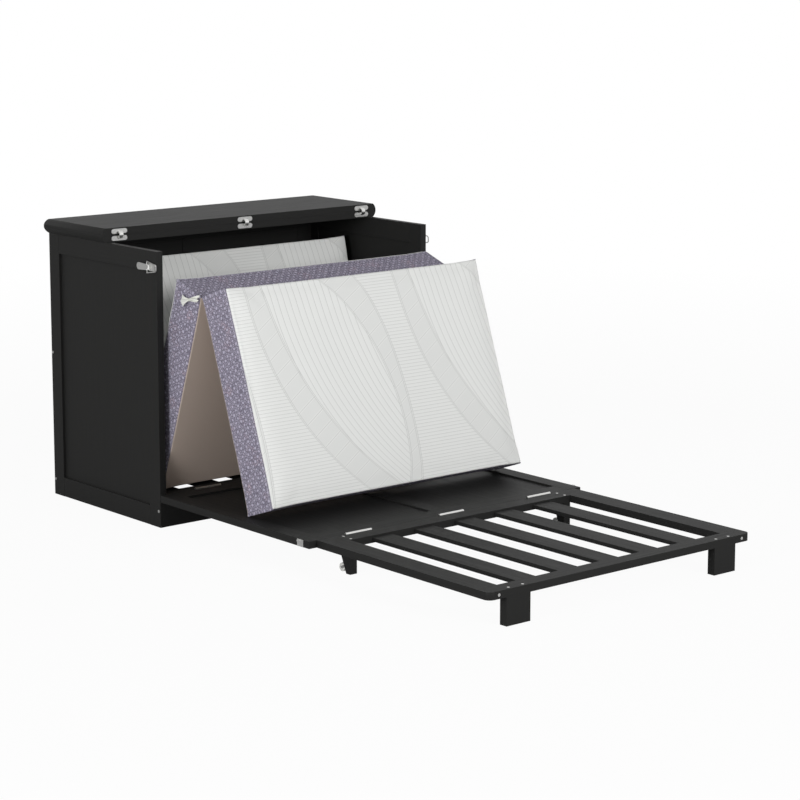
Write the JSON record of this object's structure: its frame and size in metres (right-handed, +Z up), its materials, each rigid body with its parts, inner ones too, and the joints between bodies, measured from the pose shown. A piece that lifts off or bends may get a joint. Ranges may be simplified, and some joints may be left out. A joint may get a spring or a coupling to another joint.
{
  "type": "cabinet bed",
  "caption": "Cabinet bed shown half open: folding lid, fold-down door with slatted foot frame, and a three-section folding mattress in a low panelled cabinet.",
  "frame": {"origin": "bottom centre of the bounding box, on the floor", "axes": "+X across the cabinet to its right seen from the foot, +Y from the foot of the bed to the cabinet's back, +Z up"},
  "size_m": [1.09, 2.0852, 0.8972],
  "materials": {
    "painted_wood": "satin",
    "hardware_steel": "satin",
    "roller_plastic": "satin",
    "top_knit": "matte",
    "border_cloth": "matte",
    "base_cloth": "matte",
    "tag_cloth": "matte"
  },
  "bodies": {
    "cabinet": {"left_side_stiles": "painted_wood", "left_side_rails": "painted_wood", "left_side_panel": "painted_wood", "right_side_stiles": "painted_wood", "right_side_rails": "painted_wood", "right_side_panel": "painted_wood", "back_stiles": "painted_wood", "back_rails": "painted_wood", "back_panels": "painted_wood", "base_apron": "painted_wood", "deck_cleats": "painted_wood", "deck_rails": "painted_wood", "deck_bearer": "painted_wood", "deck_slats": "painted_wood", "side_bolts": "hardware_steel", "lid_rear_leaf": "painted_wood", "lid_rear_cups": "hardware_steel", "latch_bases": "hardware_steel", "door_hinge_fixed": "hardware_steel", "door_hinge_pins": "hardware_steel"},
    "lid": {"lid_front_leaf": "painted_wood", "lid_front_cups": "hardware_steel"},
    "lid_links": {"lid_links": "hardware_steel"},
    "door": {"door_hinge_moving": "hardware_steel", "door_stiles": "painted_wood", "door_rails": "painted_wood", "door_mid_stile": "painted_wood", "door_panels": "painted_wood", "door_strikes": "hardware_steel", "foot_hinge_fixed": "hardware_steel", "foot_hinge_pins": "hardware_steel"},
    "foot_frame": {"foot_hinge_moving": "hardware_steel", "foot_side_rails": "painted_wood", "foot_near_rail": "painted_wood", "foot_end_rail": "painted_wood", "foot_slats": "painted_wood", "end_legs": "painted_wood", "mid_legs": "painted_wood", "roller_brackets": "hardware_steel", "leg_screws": "hardware_steel", "end_bolts": "hardware_steel"},
    "left_roller": {"roller_left": "roller_plastic"},
    "right_roller": {"roller_right": "roller_plastic"},
    "left_lever": {"latch_lever_left": "hardware_steel"},
    "right_lever": {"latch_lever_right": "hardware_steel"},
    "left_bail": {"latch_bail_left": "hardware_steel"},
    "right_bail": {"latch_bail_right": "hardware_steel"},
    "middle_section": {"mattress_middle_base": "base_cloth", "mattress_middle_core": "border_cloth", "mattress_middle_top": "top_knit", "mattress_fold_seams": "border_cloth", "mattress_tag": "tag_cloth"},
    "rear_section": {"mattress_rear_base": "base_cloth", "mattress_rear_core": "border_cloth", "mattress_rear_top": "top_knit"},
    "front_section": {"mattress_front_base": "base_cloth", "mattress_front_core": "border_cloth", "mattress_front_top": "top_knit"}
  },
  "joints": [
    {"name": "lid_fold", "type": "hinge", "parent": "cabinet", "child": "lid", "pos_m": [0, 0.70175, 0.8752], "axis": [1, 0, 0], "range_deg": [0, 180]},
    {"name": "lid_link_turn", "type": "hinge", "parent": "cabinet", "child": "lid_links", "pos_m": [0, 0.70175, 0.8752], "axis": [1, 0, 0], "range_deg": [0, 90]},
    {"name": "door_fold", "type": "hinge", "parent": "cabinet", "child": "door", "pos_m": [0, 0.4273, 0.1023], "axis": [-1, 0, 0], "range_deg": [0, 90], "deforming": ["mattress_middle_base", "mattress_middle_core", "mattress_middle_top", "mattress_fold_seams", "mattress_tag", "mattress_rear_base", "mattress_rear_core", "mattress_rear_top", "mattress_front_base", "mattress_front_core", "mattress_front_top"]},
    {"name": "foot_fold", "type": "hinge", "parent": "door", "child": "foot_frame", "pos_m": [0, -0.3133, 0.1023], "axis": [-1, 0, 0], "range_deg": [0, 180]},
    {"name": "left_latch", "type": "hinge", "parent": "cabinet", "child": "left_lever", "pos_m": [-0.538, 0.4636, 0.8029], "axis": [0, 0, 1], "range_deg": [0, 110]},
    {"name": "right_latch", "type": "hinge", "parent": "cabinet", "child": "right_lever", "pos_m": [0.538, 0.4636, 0.8029], "axis": [0, 0, -1], "range_deg": [0, 110]},
    {"name": "left_bail_turn", "type": "hinge", "parent": "left_lever", "child": "left_bail", "pos_m": [-0.538, 0.4716, 0.8029], "axis": [0, 0, 1], "range_deg": [-110, 0]},
    {"name": "right_bail_turn", "type": "hinge", "parent": "right_lever", "child": "right_bail", "pos_m": [0.538, 0.4716, 0.8029], "axis": [0, 0, -1], "range_deg": [-110, 0]},
    {"name": "left_roller_spin", "type": "hinge", "parent": "foot_frame", "child": "left_roller", "pos_m": [-0.4195, -0.32548, 0.0125], "axis": [1, 0, 0], "continuous": true},
    {"name": "right_roller_spin", "type": "hinge", "parent": "foot_frame", "child": "right_roller", "pos_m": [0.4195, -0.32548, 0.0125], "axis": [1, 0, 0], "continuous": true},
    {"name": "mattress_unfold", "type": "hinge", "parent": "cabinet", "child": "middle_section", "pos_m": [0, 0.40731, -0.00195], "axis": [-1, 0, 0], "range_deg": [-70.6, 0]},
    {"name": "rear_section_turn", "type": "hinge", "parent": "middle_section", "child": "rear_section", "pos_m": [0, 0.6101, 0.14337], "axis": [1, 0, 0], "range_deg": [-144.11, 0]},
    {"name": "front_section_turn", "type": "hinge", "parent": "middle_section", "child": "front_section", "pos_m": [0, 0.25955, 0.73237], "axis": [1, 0, 0], "range_deg": [-141.21, 0]}
  ],
  "couplings": [
    {"joint": "lid_link_turn", "follows": "lid_fold", "ratio": 0.5},
    {"joint": "left_bail_turn", "follows": "left_latch", "ratio": -1},
    {"joint": "right_bail_turn", "follows": "right_latch", "ratio": -1},
    {"joint": "rear_section_turn", "follows": "mattress_unfold", "ratio": 2.0411},
    {"joint": "front_section_turn", "follows": "mattress_unfold", "ratio": 2}
  ]
}
